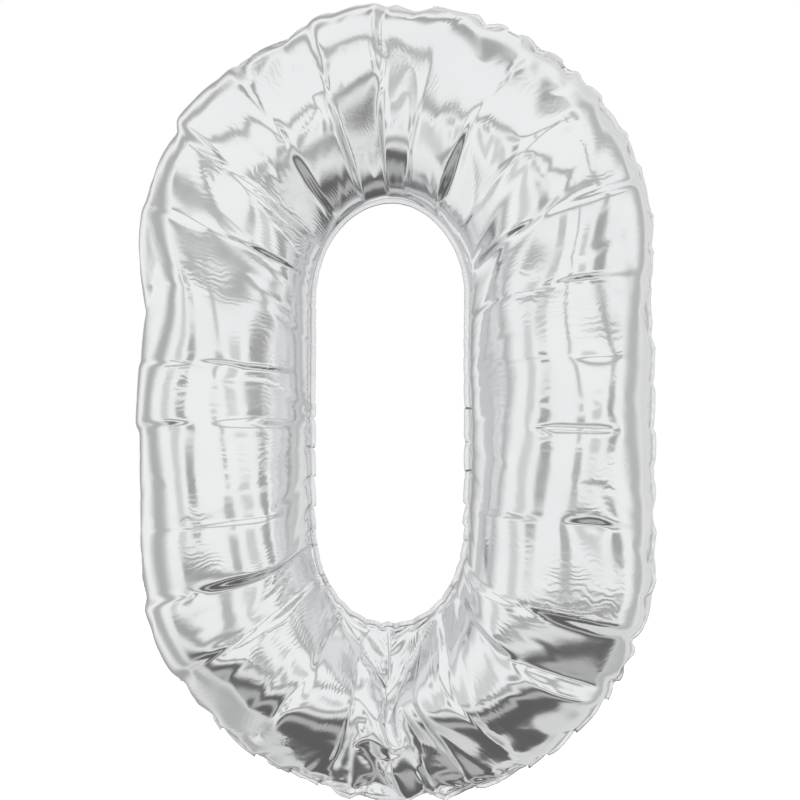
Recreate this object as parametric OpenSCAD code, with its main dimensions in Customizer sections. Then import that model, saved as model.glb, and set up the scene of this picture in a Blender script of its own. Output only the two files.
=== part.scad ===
/* [Outline] */
// Overall height, from seal edge to seal edge
height = 864; // [780:1:950]
// Overall width, from seal edge to seal edge
width = 568; // [540:1:600]
// Height of the rounded top and of the rounded bottom
cap_h = 260; // [240:1:284]
// Width of the hole
hole_w = 165; // [140:1:180]
// Height of the hole
hole_h = 453; // [430:1:470]
// How far the hole's middle lies below the outline's middle
hole_drop = 13; // [0:1:25]
// Height of the hole's rounded ends
hole_cap_h = 105; // [90:1:115]

/* [Inflated form] */
// Half the thickness of the filled tube
puff = 93; // [85:0.5:100]
// Width of the hollow beside the divider weld
pinch_w = 46; // [30:1:60]
// Share of its thickness that the tube keeps below the divider weld
pinch_keep = 0.5; // [0.4:0.05:0.8]

/* [Film] */
// Thickness of one ply
ply = 0.2; // [0.15:0.05:0.25]
// Width of the heat-sealed rim round the outside
outer_rim = 5; // [4:0.5:7]
// Width of the heat-sealed rim round the hole
inner_rim = 6; // [4:0.5:8]
// Length of the weld that runs down from the hole
divider_h = 78; // [60:1:90]
// Width of that weld
divider_w = 5; // [4:0.5:7]

/* [Filling neck] */
// Length of the neck beyond the rim
neck_h = 50; // [40:1:60]
// Width of the neck at the rim
neck_root_w = 34; // [31:1:40]
// Width of the neck at its mouth
neck_mouth_w = 30; // [28:1:34]
// Width of each sealed side of the neck
neck_side = 3; // [2:0.5:3.5]

/* [Valve] */
// Width of the valve
valve_w = 24; // [18:1:24]
// How far the valve reaches into the balloon
valve_h = 74; // [60:1:78]
// Thickness of one valve film
valve_film = 0.1; // [0.08:0.02:0.12]
// Width of the two edge seals of the valve
valve_seal = 2; // [1.5:0.5:3]

/* [Hanging tabs] */
// Which straight stretch of the rounded top, counted from the middle, carries a tab
tab_stretch = 2; // [1:1:4]
// Width of a tab
tab_w = 24; // [20:1:28]
// Length of a tab
tab_h = 26; // [24:1:32]
// Radius of the punched hole
eyelet_r = 2.5; // [2:0.25:3]
// Distance from the hole's centre to the tab's tip
eyelet_edge = 9; // [8:1:11]

/* [Hidden] */

cap_steps = 14;
side_steps = 10;
tube_steps = 12;
fold_gap = 0.3;

// The rim's lowest point is the origin, so the middle stands half the height above it.
mid_z = height / 2;
cap_top_z = height - cap_h;
cap_low_z = cap_h;
hole_top_z = mid_z - hole_drop + hole_h / 2 - hole_cap_h;
hole_low_z = mid_z - hole_drop - hole_h / 2 + hole_cap_h;
hole_bottom_z = mid_z - hole_drop - hole_h / 2;
sleeve_w = valve_w + 0.4;
valve_face = ply - 0.02;
neck_axis_z = -fold_gap - 2 * ply;
foil = [0.84, 0.85, 0.87];
foil_back = [0.78, 0.79, 0.81];
rim_colour = [0.7, 0.71, 0.73];
film_colour = [0.82, 0.88, 0.92, 0.7];

// Stations run once round a rounded outline, from the low end of the right side.
// Each is [side, angle, share]: the angle is measured from the middle line.
stations = concat(
    [for (i = [0 : side_steps - 1]) [1, 90, i / side_steps]],
    [for (i = [0 : 2 * cap_steps - 1]) [0, 90 - i * 90 / cap_steps, 1]],
    [for (i = [0 : side_steps - 1]) [-1, 90, 1 - i / side_steps]],
    [for (i = [0 : 2 * cap_steps - 1]) [0, -90 + i * 90 / cap_steps, 0]]
);

// The point of one station on an outline with a half width, cap height and two cap centres.
function outline_point(s, half_w, cap, top_z, low_z) =
    s[0] != 0 ? [s[0] * half_w, low_z + (top_z - low_z) * s[2]]
    : s[2] > 0 ? [half_w * sin(s[1]), top_z + cap * cos(s[1])]
    : [half_w * sin(s[1]), low_z - cap * cos(s[1])];

// The outer edge of the foil, moved in by some distance.
function outer_point(s, inset) =
    outline_point(s, width / 2 - inset, cap_h - inset, cap_top_z, cap_low_z);

// The edge of the hole, moved out by some distance.
function hole_point(s, outset) =
    outline_point(s, hole_w / 2 + outset, hole_cap_h + outset, hole_top_z, hole_low_z);

// How much of its thickness the tube keeps at a place: none on the divider weld, and less below it.
function beside_divider(x, z) = z > hole_low_z ? 0 : exp(-pow(x / pinch_w, 2));
function welded_share(z) = max(0, min(1, (z - (hole_bottom_z - divider_h - 12)) / 24));
function thickness_share(x, z) = 1 - beside_divider(x, z) * (1 - pinch_keep * (1 - welded_share(z)));

// A point of the tube's wall at one station, where 0 is the hole's seam and 180 the outer seam,
// lifted off the wall by some distance.
function wall_point(s, around, lift) =
    let (a = hole_point(s, inner_rim), b = outer_point(s, outer_rim))
    let (middle = (a + b) / 2, reach = (b - a) / 2)
    let (flat = middle - reach * cos(around))
    let (deep = puff * thickness_share(flat[0], flat[1]))
    let (nx = -cos(around) / norm(reach), ny = sin(around) / max(deep, 1))
    let (n = norm([nx, ny]))
    let (side = flat + reach / norm(reach) * lift * nx / n)
    [side[0], -(ply + deep * sin(around) + lift * ny / n), side[1]];

function panel_points(lift) =
    [for (s = stations) for (j = [0 : tube_steps]) wall_point(s, j * 180 / tube_steps, lift)];

// One ply of the balloon's body, bulged out to the front: a thin shell with open rims at the seams.
module panel_shell() {
    n = len(stations);
    row = tube_steps + 1;
    wall = n * row;
    outside = [for (i = [0 : n - 1]) for (j = [0 : tube_steps - 1])
        let (a = i * row + j, b = (i + 1) % n * row + j)
        each [[a, a + 1, b + 1], [a, b + 1, b]]];
    inside = [for (f = outside) [f[0] + wall, f[2] + wall, f[1] + wall]];
    rims = [for (i = [0 : n - 1]) for (j = [0, tube_steps])
        let (a = i * row + j, b = (i + 1) % n * row + j)
        let (quad = j == 0 ? [a, b, b + wall, a + wall] : [b, a, a + wall, b + wall])
        each [[quad[0], quad[1], quad[2]], [quad[0], quad[2], quad[3]]]];
    polyhedron(concat(panel_points(ply), panel_points(0)), concat(outside, inside, rims), convexity = 6);
}

// A flat plate standing in the seam's plane, drawn as [x, z] and centred on its thickness.
module upright(thickness, centre_y = 0) {
    translate([0, centre_y + thickness / 2, 0]) rotate([90, 0, 0]) linear_extrude(thickness) children();
}

// A flat ring between two outlines.
module rim(outside, inside) {
    upright(2 * ply) difference() {
        polygon(outside);
        polygon(inside);
    }
}

module front_panel() {
    color(foil) panel_shell();
}

module back_panel() {
    color(foil_back) mirror([0, 1, 0]) panel_shell();
}

// The outer heat seal opens into a flat sleeve at the bottom, where the valve passes through it.
module outer_seal() {
    color(rim_colour) difference() {
        union() {
            rim([for (s = stations) outer_point(s, 0)], [for (s = stations) outer_point(s, outer_rim)]);
            upright(4 * ply) translate([-sleeve_w / 2 - 2, 0]) square([sleeve_w + 4, outer_rim - 0.8]);
        }
        upright(2 * ply) translate([-sleeve_w / 2, -1]) square([sleeve_w, outer_rim + 2]);
    }
}

module inner_seal() {
    color(rim_colour) rim(
        [for (s = stations) hole_point(s, inner_rim)],
        [for (s = stations) hole_point(s, 0)]
    );
}

// A short weld of the two plies runs down from the hole and gives the figure its pinched foot.
module divider_weld() {
    top_z = hole_bottom_z - inner_rim;
    color(rim_colour) upright(2 * ply) union() {
        translate([-divider_w / 2, top_z - divider_h]) square([divider_w, divider_h]);
        translate([0, top_z - divider_h]) circle(d = divider_w, $fn = 32);
    }
}

// A strip of the valve, from the rim's edge up into the balloon.
module valve_strip(x0, x1, z0, z1, thickness, centre_y) {
    upright(thickness, centre_y) translate([x0, z0]) square([x1 - x0, z1 - z0]);
}

module valve_front_film() {
    y = -(valve_face - valve_film / 2);
    color(film_colour) valve_strip(-valve_w / 2, valve_w / 2, 0, valve_h, valve_film, y);
}

module valve_back_film() {
    y = valve_face - valve_film / 2;
    color(film_colour) valve_strip(-valve_w / 2, valve_w / 2, 0, valve_h, valve_film, y);
}

// The two seals taper the valve's channel towards its inner end, which is what closes it.
module valve_edge_seals() {
    thickness = 2 * (valve_face - valve_film);
    half = valve_w / 2;
    color([0.72, 0.8, 0.86]) upright(thickness) for (side = [-1, 1]) polygon([
        [side * half, 0],
        [side * half, valve_h],
        [side * (half - 3 * valve_seal), valve_h],
        [side * (half - valve_seal), 0]
    ]);
}

// A printed coat keeps the two valve films from being sealed to each other under the rim.
module valve_release_coat() {
    half = valve_w / 2 - valve_seal - 1;
    gap = 2 * (valve_face - valve_film);
    color([0.55, 0.62, 0.7]) valve_strip(-half, half, 0, outer_rim + 9, gap / 2, gap / 4);
}

// The neck is drawn hanging and then folded back under the balloon, about its own root.
module folded_neck() {
    translate([0, 0, neck_axis_z]) rotate([90, 0, 0]) children();
}

module neck_outline() {
    polygon([
        [-neck_root_w / 2, 0],
        [neck_root_w / 2, 0],
        [neck_mouth_w / 2, -neck_h],
        [-neck_mouth_w / 2, -neck_h]
    ]);
}

module neck_front_ply() {
    color(foil) folded_neck() upright(ply, -1.5 * ply) neck_outline();
}

module neck_back_ply() {
    color(foil_back) folded_neck() upright(ply, 1.5 * ply) neck_outline();
}

module neck_side_seals() {
    color(rim_colour) folded_neck() upright(2 * ply) for (side = [-1, 1]) polygon([
        [side * neck_root_w / 2, 0],
        [side * neck_mouth_w / 2, -neck_h],
        [side * (neck_mouth_w / 2 - neck_side), -neck_h],
        [side * (neck_root_w / 2 - neck_side), 0]
    ]);
}

// The valve's films go on inside the neck, nearly to its mouth.
module inlet_film(centre_y) {
    w = neck_mouth_w - 2 * neck_side - 1;
    color(film_colour) folded_neck() upright(valve_film, centre_y)
        translate([-w / 2, 6 - neck_h]) square([w, neck_h - 6]);
}

module inlet_front_film() {
    inlet_film(-(valve_face - valve_film / 2));
}

module inlet_back_film() {
    inlet_film(valve_face - valve_film / 2);
}

// A hanging tab grows out of one straight stretch of the rim and folds back behind the balloon.
module hang_tab(side) {
    step = 90 / cap_steps;
    a = outer_point([0, side * tab_stretch * step, 1], 0);
    b = outer_point([0, side * (tab_stretch + 1) * step, 1], 0);
    middle = (a + b) / 2;
    tilt = side * atan2(a[1] - b[1], abs(b[0] - a[0]));
    color(rim_colour) translate([middle[0], 0, middle[1]]) rotate([0, tilt, 0])
        translate([0, 0, fold_gap]) linear_extrude(2 * ply) difference() {
            union() {
                translate([-tab_w / 2, 0]) square([tab_w, tab_h - tab_w / 2]);
                translate([0, tab_h - tab_w / 2]) circle(d = tab_w, $fn = 64);
            }
            translate([0, tab_h - eyelet_edge]) circle(r = eyelet_r, $fn = 48);
        }
}

module hang_tab_left() {
    hang_tab(-1);
}

module hang_tab_right() {
    hang_tab(1);
}

front_panel();
back_panel();
outer_seal();
inner_seal();
divider_weld();
valve_front_film();
valve_back_film();
valve_edge_seals();
valve_release_coat();
neck_front_ply();
neck_back_ply();
neck_side_seals();
inlet_front_film();
inlet_back_film();
hang_tab_left();
hang_tab_right();
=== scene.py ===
import math
from concurrent.futures import ThreadPoolExecutor

import bmesh
import bpy
import numpy as np
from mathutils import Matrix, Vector, noise


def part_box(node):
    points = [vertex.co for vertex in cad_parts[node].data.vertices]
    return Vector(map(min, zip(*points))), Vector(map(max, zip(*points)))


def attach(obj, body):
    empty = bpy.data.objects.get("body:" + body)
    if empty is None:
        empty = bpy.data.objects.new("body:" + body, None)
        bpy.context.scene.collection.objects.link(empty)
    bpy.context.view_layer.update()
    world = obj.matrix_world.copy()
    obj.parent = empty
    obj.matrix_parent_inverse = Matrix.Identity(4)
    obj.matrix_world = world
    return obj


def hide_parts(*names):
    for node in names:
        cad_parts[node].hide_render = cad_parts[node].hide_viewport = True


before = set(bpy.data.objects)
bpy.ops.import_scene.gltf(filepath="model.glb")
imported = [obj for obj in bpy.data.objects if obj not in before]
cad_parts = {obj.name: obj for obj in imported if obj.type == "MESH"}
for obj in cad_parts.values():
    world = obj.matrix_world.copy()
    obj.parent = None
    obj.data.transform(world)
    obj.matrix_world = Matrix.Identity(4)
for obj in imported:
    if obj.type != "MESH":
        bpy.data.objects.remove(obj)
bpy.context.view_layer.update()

# ---------------------------------------------------------------- measures from the frame
MM = 1000.0
RIM = 0.005  # width of the outer sealed rim
HOLE_RIM = 0.006  # width of the sealed rim round the hole
END_RISE = 0.260  # height of each rounded end of the figure
HOLE_END_RISE = 0.105  # height of each rounded end of the hole
FILM = 0.0003  # how thick a sealed rim is drawn

outer_lo, outer_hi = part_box("outer_seal")
hole_lo, hole_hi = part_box("inner_seal")
weld_lo, weld_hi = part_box("divider_weld")
MID_Z = (outer_lo.z + outer_hi.z) / 2

# ---------------------------------------------------------------- camera
VIEW_YAW = 13.5  # degrees the camera stands to the right of the balloon's front
VIEW_PITCH = -2.2  # degrees above the horizon
VIEW_DISTANCE = 1.75
VIEW_HALF_HEIGHT = 0.4348  # what the frame holds above and below the aim, at the aim's distance
AIM = Vector((0.0123, 0.0, MID_Z))


def make_camera():
    yaw, pitch = math.radians(VIEW_YAW), math.radians(VIEW_PITCH)
    away = Vector((math.sin(yaw) * math.cos(pitch), -math.cos(yaw) * math.cos(pitch), math.sin(pitch)))
    data = bpy.data.cameras.new("camera")
    data.sensor_width = 36.0
    data.lens = data.sensor_width / 2 * VIEW_DISTANCE / VIEW_HALF_HEIGHT
    camera = bpy.data.objects.new("camera", data)
    camera.location = AIM + away * VIEW_DISTANCE
    camera.rotation_euler = (-away).to_track_quat("-Z", "Y").to_euler()
    bpy.context.collection.objects.link(camera)
    bpy.context.scene.camera = camera


make_camera()
bpy.context.scene.view_settings.view_transform = "Standard"

# ---------------------------------------------------------------- the flat cut, in millimetres
# The two plies are cut flat and welded at both edges. They are wider than the filled balloon,
# since a filled tube is rounder and so narrower than the same tube lying flat.
CUT_HALF_WIDTH = 376.0
CUT_SLACK = 1.03  # the straight sides are cut this much longer than they end up
CUT_STRAIGHT = 172.0 * CUT_SLACK
CUT_TOP_RISE = 302.0
CUT_LOW_RISE = 310.0
CUT_HOLE_HALF_WIDTH = 84.0
CUT_HOLE_TOP = (108.5 * CUT_SLACK, 110.0)  # straight part, then the rise of the rounded end
CUT_HOLE_LOW = (148.0 * CUT_SLACK, 116.0)
CUT_EASE_TOP = 0.025  # how far the cut's corners draw in
CUT_EASE_LOW = 0.015
CUT_FOOT = -5.0  # the cut reaches this much lower at the neck
CUT_FOOT_WIDTH = 70.0
END_SHARE = 0.66  # share of each quarter's stations that lie on its rounded end
SLIT_LENGTH = 81.0
SLIT_WIDTH = 6.0


def loop(stations, half_width, top, low):
    """An upright oval of straight sides and rounded ends, station 0 at the bottom centre."""
    t = np.arange(stations) / stations * 4
    quarter = np.floor(t).astype(int)
    f = t - quarter
    s = np.where(quarter % 2 == 0, f, 1 - f)
    angle = np.clip(s / END_SHARE, 0, 1) * np.pi / 2
    side = np.clip((s - END_SHARE) / (1 - END_SHARE), 0, 1)
    lower = (quarter == 0) | (quarter == 3)
    x = np.where(quarter < 2, 1, -1) * half_width * np.sin(angle)
    z_low = -(low[0] * (1 - side) + low[1] * np.cos(angle))
    z_top = top[0] * (1 - side) + top[1] * np.cos(angle)
    return np.stack([x, np.where(lower, z_low, z_top)]), angle, lower


def flat_cut(stations, rows):
    """The flat plies: (2, stations, ring), where the ring is the front ply out and the back ply in."""
    hole, _, _ = loop(stations, CUT_HOLE_HALF_WIDTH, CUT_HOLE_TOP, CUT_HOLE_LOW)
    top, low = (CUT_STRAIGHT, CUT_TOP_RISE), (CUT_STRAIGHT, CUT_LOW_RISE)
    edge, angle, lower = loop(stations, CUT_HALF_WIDTH, top, low)
    ease = 1 - np.where(lower, CUT_EASE_LOW, CUT_EASE_TOP) * np.sin(2 * angle) ** 2
    centre = np.where(lower, -CUT_STRAIGHT, CUT_STRAIGHT)
    edge = np.stack([edge[0] * ease, centre + (edge[1] - centre) * ease])
    edge[1] += np.where(edge[1] < 0, CUT_FOOT * np.exp(-((edge[0] / CUT_FOOT_WIDTH) ** 2)), 0)
    v = np.arange(rows + 1) / rows
    front = hole[:, :, None] + (edge - hole)[:, :, None] * v
    return np.concatenate([front, front[:, :, -2:0:-1]], 2)


def seam_outline(stations, hole):
    """Where a seam lies on the filled balloon, in millimetres about the figure's middle."""
    lo, hi = (hole_lo, hole_hi) if hole else (outer_lo, outer_hi)
    inset = 0.0 if hole else RIM
    rise = HOLE_END_RISE + HOLE_RIM if hole else END_RISE - RIM
    top = (hi.z - inset - MID_Z - rise) * MM
    low = (MID_Z - lo.z - inset - rise) * MM
    return loop(stations, (hi.x - inset) * MM, (top, rise * MM), (low, rise * MM))[0]


# ---------------------------------------------------------------- filling the film
POOL = ThreadPoolExecutor(4)
THREAD_FROM = 40000  # nets smaller than this are quicker on one core


def in_chunks(a, b, length, parts=4):
    if a.shape[1] < 24 or a.size < THREAD_FROM:
        return [(a, b, length)]
    cuts = np.linspace(0, a.shape[1], parts + 1).astype(int)
    return [(a[:, i:j], b[:, i:j], length[i:j]) for i, j in zip(cuts[:-1], cuts[1:])]


def low_pass(curve, keep):
    waves = np.fft.rfft(curve, axis=-1)
    waves[..., keep + 1 :] = 0
    return np.fft.irfft(waves, curve.shape[-1], axis=-1)


def fourth_difference(ply):
    bend = ply[:, :, 2:] + ply[:, :, :-2] - 2 * ply[:, :, 1:-1]
    return bend[:, :, 2:] + bend[:, :, :-2] - 2 * bend[:, :, 1:-1]


class Film:
    """The closed net of both plies, as (3, stations, ring). Its threads hardly stretch, and air fills it."""

    def __init__(self, flat, points):
        self.flat = flat
        self.x = np.ascontiguousarray(points.astype(np.float32))
        self.stations, self.ring = self.x.shape[1:]
        self.rows = self.ring // 2
        self.threaded = self.stations * self.ring >= THREAD_FROM
        self.link()

    def rest(self, along, across):
        far = np.roll(self.flat, (-along, -across), (1, 2))
        return np.sqrt(((far - self.flat) ** 2).sum(0)).astype(np.float32)

    def link(self):
        """Groups of threads that share no point, so that each group is drawn in at once."""
        x, n, ring = self.x, self.stations, self.ring
        across = self.rest(0, 1)
        odd = in_chunks(x[:, :, 1 : ring - 1 : 2], x[:, :, 2:ring:2], across[:, 1 : ring - 1 : 2])
        closing = (x[:, :, ring - 1 :], x[:, :, :1], across[:, ring - 1 :])
        self.groups = [in_chunks(x[:, :, 0:ring:2], x[:, :, 1:ring:2], across[:, 0:ring:2]), odd + [closing]]
        steps = {
            0: [(slice(None), slice(None))],
            1: [(slice(0, ring - 1), slice(1, ring)), (slice(ring - 1, ring), slice(0, 1))],
            -1: [(slice(1, ring), slice(0, ring - 1)), (slice(0, 1), slice(ring - 1, ring))],
        }
        for shift, pairs in steps.items():
            length = self.rest(1, shift)
            for parity in (0, 1):
                near, far = slice(parity, n - 1, 2), slice(parity + 1, n, 2)
                group = []
                for ka, kb in pairs:
                    group += in_chunks(x[:, near, ka], x[:, far, kb], length[near, ka])
                    if parity:
                        group.append((x[:, n - 1 :, ka], x[:, :1, kb], length[n - 1 :, ka]))
                self.groups.append(group)
        self.area = self.rest(1, 0) * self.rest(0, 1)

    def draw_in(self, push):
        """Brings every thread to its length. push is how much of a shortened thread's push is kept."""

        def one(task):
            a, b, length = task
            d = b - a
            size = np.sqrt(d[0] * d[0] + d[1] * d[1] + d[2] * d[2]) + 1e-9
            share = 0.5 - 0.5 * length / size
            if push != 1.0:
                share = np.where(share < 0, share * push, share)
            d *= share
            a += d
            b -= d

        for group in self.groups:
            if self.threaded:
                list(POOL.map(one, group))
            else:
                for task in group:
                    one(task)

    def normals(self):
        x = self.x
        out = np.empty_like(x)

        def one(span):
            a, b = span
            p = x.take(range(a + 1, b + 1), 1, mode="wrap") - x.take(range(a - 1, b - 1), 1, mode="wrap")
            y = x[:, a:b]
            q = np.empty_like(y)
            q[:, :, 1:-1] = y[:, :, 2:] - y[:, :, :-2]
            q[:, :, 0] = y[:, :, 1] - y[:, :, -1]
            q[:, :, -1] = y[:, :, 0] - y[:, :, -2]
            o = out[:, a:b]
            o[0] = p[1] * q[2] - p[2] * q[1]
            o[1] = p[2] * q[0] - p[0] * q[2]
            o[2] = p[0] * q[1] - p[1] * q[0]
            o *= 0.25

        cuts = np.linspace(0, self.stations, 5).astype(int)
        spans = list(zip(cuts[:-1], cuts[1:])) if self.threaded else [(0, self.stations)]
        list(POOL.map(one, spans))
        return out

    def stiffen(self, amount):
        """The film's own stiffness, along the loop and across each ply; it folds freely at the seams."""
        x, rows = self.x, self.rows
        bend = np.roll(x, 1, 1) + np.roll(x, -1, 1) - 2 * x
        x -= amount / 16 * (np.roll(bend, 1, 1) + np.roll(bend, -1, 1) - 2 * bend)
        back = np.concatenate([x[:, :, rows:], x[:, :, :1]], 2)
        x[:, :, 2 : rows - 1] -= amount / 16 * fourth_difference(x[:, :, : rows + 1])
        x[:, :, rows + 2 : 2 * rows - 1] -= amount / 16 * fourth_difference(back)

    def fill(self, steps, pressure, damping, push, stiffness, hold):
        x = self.x
        before = x.copy()
        blow = (pressure / self.area).astype(np.float32)
        for _ in range(steps):
            speed = (x - before) * np.float32(damping)
            before[...] = x
            out = self.normals()
            out *= blow
            x += speed
            x -= out
            for _ in range(3):
                self.draw_in(push)
                hold(x)
            if stiffness:
                self.stiffen(stiffness)


def finer(points, stations, rows):
    """The same net with more stations and rows."""

    def along(a, count, axis):
        place = np.arange(count) / count * a.shape[axis]
        whole = np.floor(place).astype(int)
        shape = [1, 1, 1]
        shape[axis] = count
        part = (place - whole).astype(a.dtype).reshape(shape)
        near, far = whole % a.shape[axis], (whole + 1) % a.shape[axis]
        return np.take(a, near, axis) * (1 - part) + np.take(a, far, axis) * part

    return along(along(points, stations, 1), 2 * rows, 2)


def slit_weld(flat):
    """Holds the two plies together where they are welded below the hole."""
    ring = flat.shape[2]
    rows = ring // 2
    stations = np.where((np.abs(flat[0, :, 0]) < SLIT_WIDTH / 2 + 1e-6) & (flat[1, :, 0] < 0))[0]
    z = flat[1, 0, : rows + 1]
    front = np.arange(0, int(np.argmin(np.abs(z - (z[0] - SLIT_LENGTH)))) + 1)
    back = (ring - front) % ring

    def hold(x):
        for i in stations:
            middle = (x[:, i, front] + x[:, i, back]) * 0.5
            middle[1] = 0
            x[:, i, front] = middle
            x[:, i, back] = middle

    return hold


SMOOTH_WAVES = 24  # the seams' slow waves round the loop, which the welded rims hold straight
RAIL_WAVES = 40  # the waves that the rails act on; finer ones are the puckers, which stay free
RAIL_GAIN = 0.2  # how much of its way back to the outline a seam is moved at each step
FLAT_WAVES = 12  # the seams' slow waves to the front and back, which the rails flatten
OUTLINE_POINTS = 4000
EVEN_SHARE = 0.6  # how far a station is drawn from its nearest outline point to its even share
TUBE_HALF = 93.0  # half the filled tube's depth
SLOW_AROUND = 8  # waves round the loop that count as the tube's slow shape
SLOW_ACROSS = 6  # and round the tube
RIM_FROM = 0.88  # where across a ply, from the hole's seam at 0 to the outer seam at 1, the rim's folds begin
RIM_BLEND = 0.1
HOLE_KEEP = 0.7  # what is left of the folds' depth at the hole's seam
HOLE_BLEND = 0.06
START_PUFF = 9.0  # how far the plies stand apart before they are filled
MIDDLE_SCALE = 0.62  # the length round the tube's middle against the length round the outer seam
FOLD_KEEP = 0.13  # what is left of the simulated folds' depth once the film is taut
RIM_KEEP = 0.7  # the same at the outer rim
ROOT_FADE = 16.0  # how far beside the neck and the tabs the rim starts to pucker
SEAM_DRAW_END = 6.5  # how far the puckered seam sits in from the bulging film, round the ends
SEAM_DRAW_SIDE = 2.0  # and along the sides
SEAM_DRAW_FADE = 0.045
SLIT_KEEP = 0.6  # what is left of the folds' depth beside the weld below the hole
SLIT_REACH = 34.0
PANELS = 26  # stretches of film between cross creases, round the loop
PANEL_TILT = 1.9  # how much a panel leans across the tube
END_TILT = 1.1  # how much more it leans on the rounded ends
PANEL_SWELL = 1.2
PANEL_ROCK = 1.0  # how much a panel leans along the tube
PANEL_HALF = 35.0  # half a panel's length, about
PANEL_EDGE = 1.6  # how softly panels meet, in stations
CREASE_DEPTH = 2.2
CREASE_WIDTH = 4.5
DIMPLES = 26  # on each ply
DIMPLE_DEPTH = 5.0
DIMPLE_WIDTH = 6.0
DIMPLE_ACROSS = 0.65  # how far out across a ply they lie, from the hole's seam to the outer seam
DIMPLE_SPREAD = 0.16


def ring_shares(rows):
    """The ring's places, and each one's share of the way from the hole's seam to the outer seam."""
    place = np.arange(2 * rows)
    return place, np.where(place <= rows, place, 2 * rows - place) / rows


def seam_goals(x):
    """Where each station of the seams belongs: between its even share and the nearest outline point."""
    rows, n = x.shape[2] // 2, x.shape[1]
    goals = []
    for k, hole in ((0, True), (rows, False)):
        course = low_pass(x[:, :, k].astype(float), SMOOTH_WAVES)
        outline = seam_outline(OUTLINE_POINTS, hole)
        gap = (course[0][:, None] - outline[0]) ** 2 + (course[2][:, None] - outline[1]) ** 2
        slide = (gap.argmin(1) / OUTLINE_POINTS * n - np.arange(n) + n / 2) % n - n / 2
        place = (np.arange(n) + slide * (1 - EVEN_SHARE)) % n / n * OUTLINE_POINTS
        near = np.floor(place).astype(int) % OUTLINE_POINTS
        part = place - np.floor(place)
        after = (near + 1) % OUTLINE_POINTS
        goals.append((k, course, outline[:, near] * (1 - part) + outline[:, after] * part))
    return goals


def lay_on_outline(x):
    """Carries the whole film sideways so that both seams run smoothly along their outlines."""
    _, share = ring_shares(x.shape[2] // 2)
    moves = []
    for _, course, goal in seam_goals(x):
        shift = low_pass(goal - course[[0, 2]], SMOOTH_WAVES)
        moves.append(np.stack([shift[0], -course[1], shift[1]]))
    x += (moves[0][:, :, None] * (1 - share) + moves[1][:, :, None] * share).astype(np.float32)


def rails(x):
    """The welded rims are stiff in their own plane, so a seam may wave only to the front and back."""
    goals = seam_goals(x)

    def hold(x):
        for k, _, goal in goals:
            seam = x[:, :, k].astype(float)
            shift = RAIL_GAIN * low_pass(goal - seam[[0, 2]], RAIL_WAVES)
            x[0, :, k] += shift[0].astype(np.float32)
            x[2, :, k] += shift[1].astype(np.float32)
            x[1, :, k] -= (0.5 * low_pass(seam[1], FLAT_WAVES)).astype(np.float32)

    return hold


def press_dimples(film, draw):
    """Starts the short cross creases that the slack along the tube gathers into, on both plies."""
    x, flat, rows = film.x, film.flat, film.rows
    line = flat[:, :, int(DIMPLE_ACROSS * rows)]
    gauge = along_distance(line)
    around = gauge[-1] + float(np.linalg.norm(line[:, 0] - line[:, -1]))
    inward = film.normals()
    inward /= np.sqrt((inward**2).sum(0)) + 1e-9
    place, across = ring_shares(rows)
    straight = np.clip((CUT_STRAIGHT + 25 - np.abs(flat[1, :, rows])) / 50, 0, 1)
    for ply, start in ((place < rows, 0.0), (place > rows, 0.5)):
        centres = ((np.arange(DIMPLES) + start) * around / DIMPLES + draw.normal(0, 4, DIMPLES)) % around
        depths = DIMPLE_DEPTH * (0.6 + 0.8 * draw.random(DIMPLES))
        middles = DIMPLE_ACROSS + draw.normal(0, 0.06, DIMPLES)
        depth = np.zeros(x.shape[1:])
        for centre, deep, middle in zip(centres, depths, middles):
            off = np.abs(gauge - centre)
            off = np.minimum(off, around - off)
            groove = deep * np.exp(-((off / DIMPLE_WIDTH) ** 1.3))
            depth += groove[:, None] * np.exp(-(((across - middle) / DIMPLE_SPREAD) ** 2) / 2)
        depth *= (0.6 + 0.4 * straight)[:, None] * ply
        x += (inward * depth).astype(np.float32)


def round_tube(stations, rows):
    """The taut tube that the film would make without any creases, and each place's share across."""
    hole, edge = seam_outline(stations, True), seam_outline(stations, False)
    place, share = ring_shares(rows)
    reach = hole[:, :, None] + (edge - hole)[:, :, None] * (1 - np.cos(np.pi * share)) / 2
    half = np.minimum(np.sqrt(((edge - hole) ** 2).sum(0)) / 2, TUBE_HALF)
    puff = half[:, None] * np.sin(np.pi * share) * np.where(place <= rows, -1, 1)
    return np.stack([reach[0], puff, reach[1]]), share


def outward_normals(x):
    along = np.roll(x, -1, 1) - np.roll(x, 1, 1)
    across = np.roll(x, -1, 2) - np.roll(x, 1, 2)
    normal = -np.cross(along, across, axis=0)
    return normal / (np.sqrt((normal**2).sum(0)) + 1e-9)


def blur_round(values, sigma):
    """Blurs along the closed loop of stations, first axis."""
    waves = np.fft.rfftfreq(values.shape[0]) * 2 * np.pi
    shape = (-1,) + (1,) * (values.ndim - 1)
    damp = np.exp(-((waves * sigma) ** 2) / 2).reshape(shape)
    return np.fft.irfft(np.fft.rfft(values, axis=0) * damp, values.shape[0], axis=0)


def root_weight(outline):
    """1 where the neck or a hanging tab grows from the rim, falling to 0 beside it."""
    weight = np.zeros(outline.shape[1])
    for node, top in (("neck_front_ply", False), ("hang_tab_left", True), ("hang_tab_right", True)):
        lo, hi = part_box(node)
        middle, half = (lo.x + hi.x) / 2 * MM, (hi.x - lo.x) / 2 * MM
        near = np.clip((half + ROOT_FADE - np.abs(outline[0] - middle)) / ROOT_FADE, 0, 1)
        weight = np.maximum(weight, near * ((outline[1] > 0) == top))
    return blur_round(weight * weight * (3 - 2 * weight), 2)


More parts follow.
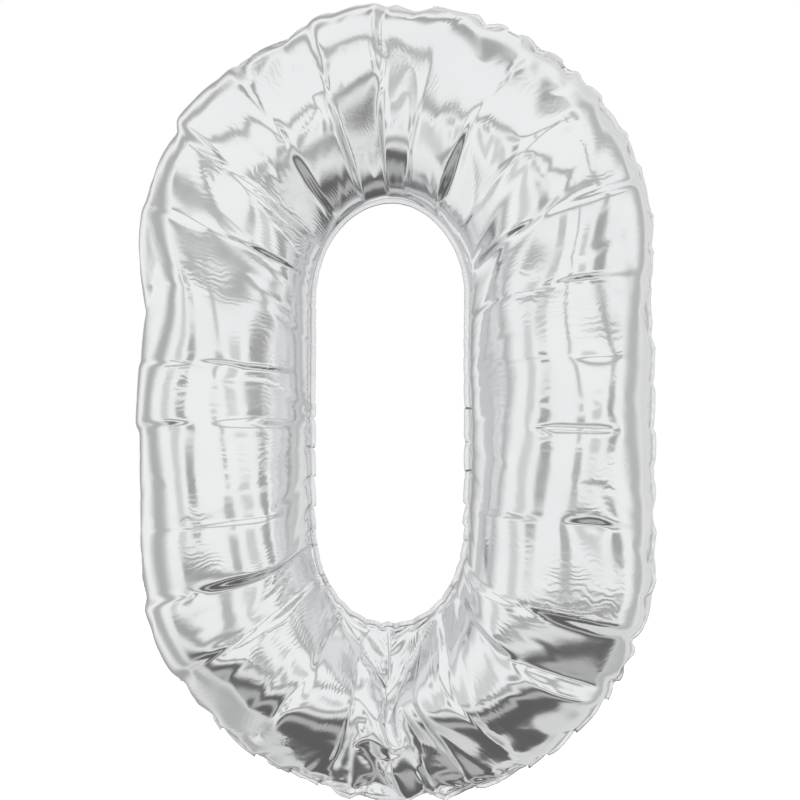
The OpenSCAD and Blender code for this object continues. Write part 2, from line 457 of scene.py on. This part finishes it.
def kept_folds(share, from_slit):
    """How much of the simulated folds' depth stays, at each station and place."""
    keep = FOLD_KEEP + (RIM_KEEP - FOLD_KEEP) * np.clip((share - RIM_FROM) / RIM_BLEND, 0, 1) ** 1.5
    keep = np.maximum(keep, HOLE_KEEP * np.clip((HOLE_BLEND - share) / HOLE_BLEND, 0, 1))
    beside = SLIT_KEEP * np.exp(-((from_slit / SLIT_REACH) ** 2))
    return np.maximum(keep[None, :], beside[:, None])


def set_outline(shape, share, outline, rounded):
    """Brings the film's outermost line to the outline, with the seam a little inside it, and ties the
    seam to the outline where the neck and the tabs grow from it."""
    tangent = np.roll(outline, -1, 1) - np.roll(outline, 1, 1)
    tangent /= np.sqrt((tangent**2).sum(0))
    away = np.stack([tangent[1], -tangent[0]])
    rooted = root_weight(outline)
    draw_in = (SEAM_DRAW_SIDE + (SEAM_DRAW_END - SEAM_DRAW_SIDE) * rounded) * (1 - rooted)
    draw_in = draw_in[:, None] * np.exp(-(1 - share) / SEAM_DRAW_FADE)
    past = np.stack([shape[0] - outline[0][:, None], shape[2] - outline[1][:, None]])
    bulge = (away[:, :, None] * past).sum(0).max(1)
    lift = low_pass(RIM * MM - bulge, SMOOTH_WAVES)[:, None] * np.clip((share - 0.25) / 0.45, 0, 1)
    for axis, part in ((0, away[0]), (2, away[1])):
        shape[axis] += part[:, None] * (lift - draw_in)
    tie = rooted[:, None] * np.clip((share - 0.9) / 0.1, 0, 1) ** 2
    for axis, goal in ((0, outline[0]), (1, 0 * outline[0]), (2, outline[1])):
        shape[axis] += (goal[:, None] - shape[axis]) * tie


def panelled(share, gauge, length, rounded, draw):
    """How far each point stands off the taut tube, for the panels and the creases between them."""
    rows = len(share) // 2
    place = np.arange(2 * rows)
    creases = (np.arange(1, PANELS) * length / PANELS) + draw.normal(0, 5, PANELS - 1)
    edges = np.concatenate([[0], creases])
    panel = np.searchsorted(edges, gauge, side="right") - 1
    middle = np.sin(np.pi * share)
    change = np.zeros((len(gauge), 2 * rows))
    for ply in (place <= rows, place > rows):
        tilt = blur_round(draw.normal(0, PANEL_TILT, PANELS)[panel], PANEL_EDGE)
        tilt = tilt * (1 + END_TILT * rounded)
        swell = blur_round(draw.normal(0, PANEL_SWELL, PANELS)[panel], PANEL_EDGE)
        rock = draw.normal(0, PANEL_ROCK, PANELS)[panel]
        centre = (np.append(edges[1:], length) + edges)[panel] / 2
        rock = blur_round(rock * (gauge - centre) / PANEL_HALF, PANEL_EDGE)
        part = tilt[:, None] * np.sin(2 * np.pi * share) + (swell + rock)[:, None] * middle
        deep = CREASE_DEPTH * (0.5 + draw.random(PANELS))
        inner = 0.15 + 0.4 * draw.random(PANELS)
        outer = 0.72 + 0.16 * draw.random(PANELS)
        for edge, depth, start, stop in zip(edges, deep, inner, outer):
            off = np.abs(gauge - edge)
            off = np.minimum(off, length - off)
            window = np.clip((share - start) / 0.1, 0, 1) * np.clip((stop - share) / 0.06, 0, 1)
            part -= depth * np.exp(-off / CREASE_WIDTH)[:, None] * window
        change += part * ply
    return change


def tighten(x, draw):
    """The fully filled film: its slow shape is kept, its folds are drawn nearly flat away from the
    rims, and it is parted into panels by the cross creases that a taut tube shows."""
    stations, rows = x.shape[1], x.shape[2] // 2
    tube, share = round_tube(stations, rows)
    waves = np.fft.fft2(x - tube, axes=(1, 2))
    around = np.abs(np.fft.fftfreq(stations) * stations)[:, None]
    ring = np.abs(np.fft.fftfreq(2 * rows) * 2 * rows)[None, :]
    waves *= (around <= SLOW_AROUND) & (ring <= SLOW_ACROSS)
    slow = tube + np.fft.ifft2(waves, axes=(1, 2)).real

    outline = seam_outline(stations, False)
    gauge = along_distance(outline * MIDDLE_SCALE)
    length = gauge[-1] + gauge[1]
    shape = slow + (x - slow) * kept_folds(share, np.minimum(gauge, length - gauge))
    rounded = blur_round(np.clip((np.abs(outline[1]) - CUT_STRAIGHT / CUT_SLACK) / 30, 0, 1), 8)
    set_outline(shape, share, outline, rounded)
    return shape + outward_normals(slow) * panelled(share, gauge, length, rounded, draw)


def inflate():
    """Fills the flat cut with air, on nets of growing fineness."""
    nets = [(200, 32), (450, 56), (900, 110)]
    flat = flat_cut(*nets[0])
    rows = nets[0][1]
    place, share = ring_shares(rows)
    puff = np.where(place <= rows, -1, 1) * np.sin(np.pi * share) * START_PUFF
    film = Film(flat, np.stack([flat[0], np.broadcast_to(puff, flat[0].shape), flat[1]]))
    weld = slit_weld(flat)
    film.fill(steps=300, pressure=0.02, damping=0.985, push=0.6, stiffness=0.1, hold=weld)
    film.fill(steps=250, pressure=0.004, damping=0.98, push=0.6, stiffness=0.1, hold=weld)
    lay_on_outline(film.x)
    draw = np.random.default_rng(1)
    for net, steps, pressure, stiffness in zip(nets[1:], (200, 150), (0.002, 0.0004), (0.1, 0.02)):
        stations, rows = net
        flat = flat_cut(stations, rows)
        film = Film(flat, finer(film.x, stations, rows))
        if stations == nets[1][0]:
            press_dimples(film, draw)
        weld, rail = slit_weld(flat), rails(film.x)

        def hold(x):
            weld(x)
            rail(x)

        film.fill(steps, pressure, damping=0.975, push=1.0, stiffness=stiffness, hold=hold)
    points = tighten(film.x.astype(float), draw) / MM
    points[2] += MID_Z
    return points


# ---------------------------------------------------------------- meshes
def add_object(name, mesh, body, nodes):
    piece = bpy.data.objects.new(name, mesh)
    bpy.context.collection.objects.link(piece)
    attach(piece, body)
    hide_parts(*nodes)
    return piece


def grid_mesh(name, points, closed_along=True, closed_across=False, attributes=()):
    """A smooth mesh of quads from (3, along, across) points."""
    n, m = points.shape[1:]
    mesh = bpy.data.meshes.new(name)
    i = np.arange(n if closed_along else n - 1)[:, None]
    k = np.arange(m if closed_across else m - 1)[None, :]
    corners = [(i, k), (i, k + 1), (i + 1, k + 1), (i + 1, k)]
    faces = np.stack([(a % n) * m + (b % m) for a, b in corners], -1).reshape(-1, 4)
    mesh.vertices.add(n * m)
    mesh.vertices.foreach_set("co", points.transpose(1, 2, 0).ravel())
    mesh.loops.add(faces.size)
    mesh.loops.foreach_set("vertex_index", faces.ravel())
    mesh.polygons.add(len(faces))
    mesh.polygons.foreach_set("loop_start", np.arange(0, faces.size, 4))
    mesh.polygons.foreach_set("loop_total", np.full(len(faces), 4))
    mesh.polygons.foreach_set("use_smooth", np.ones(len(faces), bool))
    for key, values in attributes:
        attribute = mesh.attributes.new(key, "FLOAT", "POINT")
        attribute.data.foreach_set("value", values.ravel().astype(np.float32))
    mesh.update()
    mesh.validate()
    return mesh


def along_distance(curve):
    """How far each station is along a closed curve, in the curve's own unit."""
    step = np.sqrt(((np.roll(curve, -1, 1) - curve) ** 2).sum(0))
    return np.concatenate([[0], np.cumsum(step)[:-1]])


def make_panels(points):
    rows = points.shape[2] // 2
    front = points[:, :, : rows + 1]
    back = np.concatenate([points[:, :, rows:], points[:, :, :1]], 2)
    gauge = along_distance(seam_outline(points.shape[1], False) / MM)
    pieces = []
    for name, ply, node, share in (
        ("foil_front", front, "front_panel", np.linspace(0, 1, rows + 1)),
        ("foil_back", back, "back_panel", np.linspace(1, 0, rows + 1)),
    ):
        n = ply.shape[1]
        attributes = [
            ("across", np.broadcast_to(share, (n, rows + 1))),
            ("along", np.broadcast_to(gauge[:, None], (n, rows + 1))),
        ]
        mesh = grid_mesh(name, ply, attributes=attributes)
        pieces.append(add_object(name, mesh, "balloon", [node]))
    return pieces


def rim_strip(name, seam, outward, width, ruffle, node):
    """A sealed rim as a thin closed strip: it starts on the seam, and its free edge ruffles."""
    steps = 5
    across = np.linspace(0, 1, steps)
    n = seam.shape[1]
    side = np.array([0.0, 1.0, 0.0])
    rings = []
    for half in (-1, 1):
        for share in across if half < 0 else across[::-1]:
            p = seam + outward * width * share
            p[1] += ruffle * share**1.5
            lip = 1.0 if 0 < share < 1 else 0.35
            rings.append(p + side[:, None] * half * FILM / 2 * lip)
    points = np.stack(rings, 2)
    shares = np.concatenate([across, across[::-1]])
    attributes = [
        ("across", np.broadcast_to(shares, (n, 2 * steps))),
        ("along", np.broadcast_to(along_distance(seam)[:, None], (n, 2 * steps))),
    ]
    mesh = grid_mesh(name, points, closed_across=True, attributes=attributes)
    return add_object(name, mesh, "balloon", [node])


def seam_frame(seam, sign):
    """The direction in the seam's plane that leads away from the film, at each station."""
    course = low_pass(seam, 60)
    tangent = np.roll(course, -1, 1) - np.roll(course, 1, 1)
    away = np.stack([tangent[2], np.zeros(seam.shape[1]), -tangent[0]])
    return sign * away / np.sqrt((away**2).sum(0))


def make_rims(points):
    rows = points.shape[2] // 2
    outer, inner = points[:, :, rows], points[:, :, 0]
    crimp = outer[1] - low_pass(outer[1], RAIL_WAVES)
    gauge = along_distance(outer)
    free = 1 - root_weight(seam_outline(points.shape[1], False))
    flutter = 0.0011 * free * np.sin(gauge * 2 * np.pi / 0.0115 + 3 * np.sin(gauge * 31))
    taut = low_pass(np.abs(crimp), 30)
    loose = np.clip(taut / max(taut.max(), 1e-9), 0, 1)
    ruffle = 0.5 * crimp * free + flutter * (0.2 + 0.6 * loose)
    rim_strip("rim_outer", outer, seam_frame(outer, 1), RIM, ruffle, "outer_seal")
    rim_strip("rim_hole", inner, seam_frame(inner, -1), HOLE_RIM, 0.15 * flutter, "inner_seal")


def make_divider(points):
    """The weld below the hole, a strip pressed into both plies."""
    top = points[:, 0, 0]
    length = weld_hi.z - weld_lo.z
    half = (weld_hi.x - weld_lo.x) / 2
    steps = 60
    z = top[2] - np.linspace(0, 1, steps) * length
    profile = np.linspace(0, 2 * np.pi, 24, endpoint=False)
    x = half * np.sign(np.cos(profile)) * np.abs(np.cos(profile)) ** 0.4
    y = 0.0006 * np.sign(np.sin(profile)) * np.abs(np.sin(profile)) ** 0.4
    taper = np.clip(np.minimum(np.arange(steps), steps - 1 - np.arange(steps)) / 4, 0.05, 1) ** 0.5
    height = np.broadcast_to(z[:, None], (steps, len(profile)))
    ring = np.stack([top[0] + x[None] * taper[:, None], y[None] * taper[:, None], height])
    mesh = grid_mesh("divider_strip", ring, closed_along=False, closed_across=True)
    add_object("divider_strip", mesh, "balloon", ["divider_weld"])


# ---------------------------------------------------------------- thin film pieces taken from the CAD
DICE = 0.0012  # how finely a thin piece is cut up before it is crumpled


def crumple_neck(p):
    """How far the neck's film lies off its flat shape, downward, at a point."""
    reach = max(p.y, 0.0)
    sag = -0.10 * reach * reach / 0.05
    fold = 0.0011 * noise.noise(Vector((p.x * 95, p.y * 42, 3.7))) * min(1, reach / 0.01)
    wander = 2.0 * noise.noise(Vector((p.x * 60, p.y * 30, 0)))
    gather = 0.0007 * math.sin(p.x * 900 + wander) * math.exp(-reach / 0.012)
    return Vector((0, 0, sag + fold + gather * min(1, reach / 0.002)))


def crumple_tab(side):
    """The same for a hanging tab, whose film lies across the tab's own slope."""
    lo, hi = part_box(f"hang_tab_{side}")
    centre = (lo + hi) / 2
    seed = 9.1 if side == "left" else 4.3

    def move(p):
        reach = max(p.y - lo.y, 0.0)
        fold = 0.0010 * noise.noise(Vector(((p.x - centre.x) * 110, reach * 70, seed)))
        return Vector((0, 0, (fold + 0.06 * reach * reach / 0.03) * min(1, reach / 0.006)))

    return move


def crumpled(name, node, body, move):
    """A film piece: the CAD shape cut up finely, then crumpled by a field that its neighbours share."""
    mesh = bpy.data.objects[node].data.copy()
    mesh.name = name
    mesh.materials.clear()
    work = bmesh.new()
    work.from_mesh(mesh)
    bmesh.ops.remove_doubles(work, verts=work.verts, dist=1e-6)
    lo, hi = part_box(node)
    for axis in (0, 1):
        normal = Vector((1, 0, 0)) if axis == 0 else Vector((0, 1, 0))
        count = int((hi[axis] - lo[axis]) / DICE)
        for i in range(1, count):
            cut = Vector(lo)
            cut[axis] = lo[axis] + (hi[axis] - lo[axis]) * i / count
            geometry = work.verts[:] + work.edges[:] + work.faces[:]
            bmesh.ops.bisect_plane(work, geom=geometry, plane_co=cut, plane_no=normal)
    for vertex in work.verts:
        vertex.co += move(vertex.co)
    bmesh.ops.triangulate(work, faces=work.faces)
    work.to_mesh(mesh)
    work.free()
    return add_object(name, mesh, body, [node])


# ---------------------------------------------------------------- materials
RIPPLE = 0.0075  # from one fine wave in the silver to the next, in metres
SEAL_RIB = 0.0016  # from one rib of the sealing bar to the next


class Nodes:
    """Short names for adding shader nodes."""

    def __init__(self, name):
        self.material = bpy.data.materials.new(name)
        self.material.use_nodes = True
        self.tree = self.material.node_tree
        self.shader = self.tree.nodes["Principled BSDF"]
        self.where = self.tree.nodes.new("ShaderNodeTexCoord").outputs["Object"]

    def value(self, key, amount):
        self.shader.inputs[key].default_value = amount

    def add(self, kind, **sockets):
        node = self.tree.nodes.new(kind)
        for key, given in sockets.items():
            socket = node.inputs[key.replace("_", " ")]
            if isinstance(given, bpy.types.NodeSocket):
                self.tree.links.new(given, socket)
            else:
                socket.default_value = given
        return node

    def noise(self, scale, detail=3.0, roughness=0.5):
        settings = {"Scale": scale, "Detail": detail, "Roughness": roughness}
        return self.add("ShaderNodeTexNoise", Vector=self.where, **settings).outputs["Fac"]

    def attribute(self, name):
        node = self.tree.nodes.new("ShaderNodeAttribute")
        node.attribute_name = name
        return node.outputs["Fac"]

    def math(self, operation, a, b=None):
        node = self.tree.nodes.new("ShaderNodeMath")
        node.operation = operation
        for socket, given in zip(node.inputs, (a, b)):
            if isinstance(given, bpy.types.NodeSocket):
                self.tree.links.new(given, socket)
            elif given is not None:
                socket.default_value = given
        return node.outputs["Value"]

    def spread(self, source, low, high, start=0.0, end=1.0):
        node = self.add("ShaderNodeMapRange", Value=source)
        for key, amount in (("From Min", start), ("From Max", end), ("To Min", low), ("To Max", high)):
            node.inputs[key].default_value = amount
        return node.outputs["Result"]

    def tint(self, source, dark, light):
        node = self.tree.nodes.new("ShaderNodeValToRGB")
        self.tree.links.new(source, node.inputs["Fac"])
        for stop, colour in zip(node.color_ramp.elements, (dark, light)):
            stop.color = (*colour, 1)
        self.tree.links.new(node.outputs["Color"], self.shader.inputs["Base Color"])

    def bump(self, height, distance, strength=1.0, below=None):
        node = self.add("ShaderNodeBump", Height=height, Distance=distance, Strength=strength)
        if below is not None:
            self.tree.links.new(below, node.inputs["Normal"])
        return node.outputs["Normal"]

    def use(self, key, source):
        self.tree.links.new(source, self.shader.inputs[key])


def foil(name, rough=(0.10, 0.17)):
    """Silvered film: a mirror with a faint cloudy haze and the film's own small unevenness."""
    m = Nodes(name)
    m.value("Metallic", 1.0)
    haze = m.noise(38.0, 4.0)
    m.use("Roughness", m.spread(haze, rough[0], rough[1], 0.3, 0.7))
    m.tint(m.noise(9.0, 2.0), (0.80, 0.805, 0.815), (0.87, 0.875, 0.88))
    swing = m.math("MULTIPLY", m.noise(34.0, 3.0), 30.0)
    steady = m.math("MULTIPLY", m.attribute("along"), 2 * math.pi / RIPPLE)
    wave = m.math("SINE", m.math("ADD", steady, swing))
    patches = m.spread(m.noise(15.0, 2.0), 0.0, 1.0, 0.45, 0.62)
    ripple = m.bump(m.math("MULTIPLY", wave, patches), 0.00003)
    m.use("Normal", m.bump(m.noise(150.0, 3.0, 0.6), 0.0001, 0.5, ripple))
    return m


def rim_foil(name):
    """Where the plies are sealed together: duller, with the fine cross ribs of the sealing bar."""
    m = Nodes(name)
    m.value("Metallic", 1.0)
    m.use("Roughness", m.spread(m.noise(90.0, 4.0), 0.14, 0.26, 0.3, 0.7))
    m.tint(m.noise(30.0, 2.0), (0.78, 0.785, 0.80), (0.88, 0.885, 0.90))
    ribs = m.math("SINE", m.math("MULTIPLY", m.attribute("along"), 2 * math.pi / SEAL_RIB))
    m.use("Normal", m.bump(m.noise(240.0, 3.0), 0.00015, 0.6, m.bump(ribs, 0.00006, 0.5)))
    return m


def film_foil(name):
    """The flat neck and tabs: silvered film with creases from handling."""
    m = foil(name, (0.12, 0.24))
    crease = m.tree.nodes.new("ShaderNodeTexVoronoi")
    crease.feature = "DISTANCE_TO_EDGE"
    crease.inputs["Scale"].default_value = 140.0
    m.tree.links.new(m.where, crease.inputs["Vector"])
    lines = m.spread(crease.outputs["Distance"], 0.0, 1.0, 0.0, 0.12)
    m.use("Normal", m.bump(lines, 0.0002, 0.5, m.bump(m.noise(60.0, 3.0), 0.0008, 0.5)))
    return m


def clear_film(name, rough, alpha, milk):
    m = Nodes(name)
    m.use("Roughness", m.spread(m.noise(70.0, 4.0), rough - 0.06, rough + 0.1, 0.3, 0.7))
    m.tint(m.noise(55.0, 3.0), milk, tuple(min(1.0, c * 1.06) for c in milk))
    m.value("Alpha", alpha)
    m.value("IOR", 1.5)
    m.use("Normal", m.bump(m.noise(180.0, 3.0), 0.0002, 0.5))
    return m


def release_coat(name):
    m = Nodes(name)
    m.tint(m.noise(400.0, 5.0), (0.62, 0.68, 0.74), (0.74, 0.79, 0.84))
    m.use("Roughness", m.spread(m.noise(220.0, 4.0), 0.55, 0.8))
    m.use("Normal", m.bump(m.noise(900.0, 2.0), 0.00005, 0.6))
    return m


def paint(node, material):
    """Gives a CAD piece a material of the scene's own."""
    piece = bpy.data.objects[node]
    if piece.data.materials:
        for entry in piece.material_slots:
            entry.material = material
    else:
        piece.data.materials.append(material)


# ---------------------------------------------------------------- studio
FLOOR_Z = -0.16  # the balloon is held above the floor by its neck
FLOOR_HALF = 6.0


class Sky(Nodes):
    """The studio round the balloon, as brightness by direction."""

    def __init__(self):
        world = bpy.data.worlds.new("studio")
        bpy.context.scene.world = world
        world.use_nodes = True
        self.tree = world.node_tree
        direction = self.tree.nodes.new("ShaderNodeTexCoord").outputs["Generated"]
        split = self.tree.nodes.new("ShaderNodeSeparateXYZ")
        self.tree.links.new(direction, split.inputs["Vector"])
        x, y, z = (split.outputs[k] for k in "XYZ")
        self.height = self.math("MULTIPLY", self.math("ARCSINE", z), 180 / math.pi)
        turn = self.math("ARCTAN2", x, self.math("MULTIPLY", y, -1.0))
        self.turn = self.math("MULTIPLY", turn, 180 / math.pi)

    def window(self, source, low, high, soft):
        up = self.smooth(source, low - soft, low + soft)
        down = self.smooth(source, high - soft, high + soft)
        return self.math("MULTIPLY", up, self.math("SUBTRACT", 1.0, down))

    def smooth(self, source, low, high):
        node = self.add("ShaderNodeMapRange", Value=source)
        node.interpolation_type = "SMOOTHSTEP"
        node.inputs["From Min"].default_value = low
        node.inputs["From Max"].default_value = high
        return node.outputs["Result"]

    def card(self, below, turn, height, soft, bright):
        """A flag or panel over a range of turns and heights in degrees; turn 0 is in front, 90 right."""
        part = self.window(self.height, *height, soft)
        if turn is not None:
            part = self.math("MULTIPLY", part, self.window(self.turn, *turn, soft))
        mix = self.tree.nodes.new("ShaderNodeMix")
        self.tree.links.new(part, mix.inputs["Factor"])
        if isinstance(below, bpy.types.NodeSocket):
            self.tree.links.new(below, mix.inputs["A"])
        else:
            mix.inputs["A"].default_value = below
        mix.inputs["B"].default_value = bright
        return mix.outputs["Result"]


def make_studio():
    sky = Sky()
    level = 1.0
    for turn, height, soft, bright in (
        (None, (-90, -30), 18, 0.76),
        ((-62, 92), (-88, -34), 4, 0.13),
        ((-62, 92), (-58, -46), 3, 0.5),
        ((-55, 80), (-24, -17), 2, 0.38),
        ((-66, 93), (68, 90), 8, 0.45),
        ((-66, 93), (20, 27), 2, 0.48),
        ((-34, -22), (-9, 3), 1.5, 0.42),
        ((-38, -20), (9, 16), 2, 0.6),
        ((-56, -44), (-16, 12), 3, 0.72),
        ((12, 24), (-15, -4), 1.5, 0.5),
        ((15, 20), (3, 30), 1.5, 0.55),
        ((36, 52), (-8, 4), 3, 0.7),
        ((64, 78), (-7, 8), 2, 0.42),
        ((68, 75), (10, 50), 2, 0.5),
        ((-104, -78), (-60, 60), 9, 0.5),
        ((-178, -128), (-70, 70), 12, 0.42),
        ((98, 124), (-60, 60), 9, 0.55),
        ((128, 181), (-60, 60), 12, 0.78),
        ((-181, -150), (-20, 60), 9, 0.78),
    ):
        level = sky.card(level, turn, height, soft, bright)
    background = sky.tree.nodes["Background"]
    sky.tree.links.new(level, background.inputs["Color"])
    white = sky.tree.nodes.new("ShaderNodeBackground")
    white.inputs["Color"].default_value = (1, 1, 1, 1)
    path = sky.tree.nodes.new("ShaderNodeLightPath")
    pick = sky.tree.nodes.new("ShaderNodeMixShader")
    sky.tree.links.new(path.outputs["Is Camera Ray"], pick.inputs[0])
    sky.tree.links.new(background.outputs[0], pick.inputs[1])
    sky.tree.links.new(white.outputs[0], pick.inputs[2])
    sky.tree.links.new(pick.outputs[0], sky.tree.nodes["World Output"].inputs["Surface"])


def make_floor():
    mesh = bpy.data.meshes.new("floor")
    size = FLOOR_HALF
    corners = [(x, y, FLOOR_Z) for x, y in ((-size, -size), (size, -size), (size, size), (-size, size))]
    mesh.from_pydata(corners, [], [(0, 1, 2, 3)])
    floor = bpy.data.objects.new("floor", mesh)
    bpy.context.collection.objects.link(floor)
    m = Nodes("floor")
    m.value("Base Color", (0.95, 0.95, 0.95, 1))
    m.value("Roughness", 0.9)
    m.value("Emission Color", (1, 1, 1, 1))
    m.value("Emission Strength", 0.7)
    mesh.materials.append(m.material)
    floor.visible_glossy = False


# ---------------------------------------------------------------- the balloon
make_studio()
make_floor()
points = inflate()
front, back = make_panels(points)
make_rims(points)
make_divider(points)

skin, rim, handled = foil("silver_foil"), rim_foil("sealed_foil"), film_foil("neck_foil")
for piece in (front, back):
    piece.data.materials.append(skin.material)
for name in ("rim_outer", "rim_hole", "divider_strip"):
    bpy.data.objects[name].data.materials.append(rim.material)

for name, node, slot in (
    ("neck_foil_front", "neck_front_ply", "foil_front"),
    ("neck_foil_back", "neck_back_ply", "foil_back"),
    ("neck_welds", "neck_side_seals", "foil_rim"),
):
    piece = crumpled(name, node, "neck", crumple_neck)
    piece.data.materials.append(rim.material if node == "neck_side_seals" else handled.material)
for side in ("left", "right"):
    piece = crumpled(f"tab_foil_{side}", f"hang_tab_{side}", f"tab_{side}", crumple_tab(side))
    piece.data.materials.append(handled.material)

valve = clear_film("valve_film", 0.22, 0.45, (0.86, 0.88, 0.90))
seal = clear_film("valve_seal", 0.35, 0.7, (0.80, 0.83, 0.86))
coat = release_coat("release_coat")
paint("valve_front_film", valve.material)
paint("valve_back_film", valve.material)
paint("valve_edge_seals", seal.material)
paint("valve_release_coat", coat.material)
for name, node in (("inlet_strip_front", "inlet_front_film"), ("inlet_strip_back", "inlet_back_film")):
    piece = crumpled(name, node, "neck", crumple_neck)
    piece.data.materials.append(valve.material)
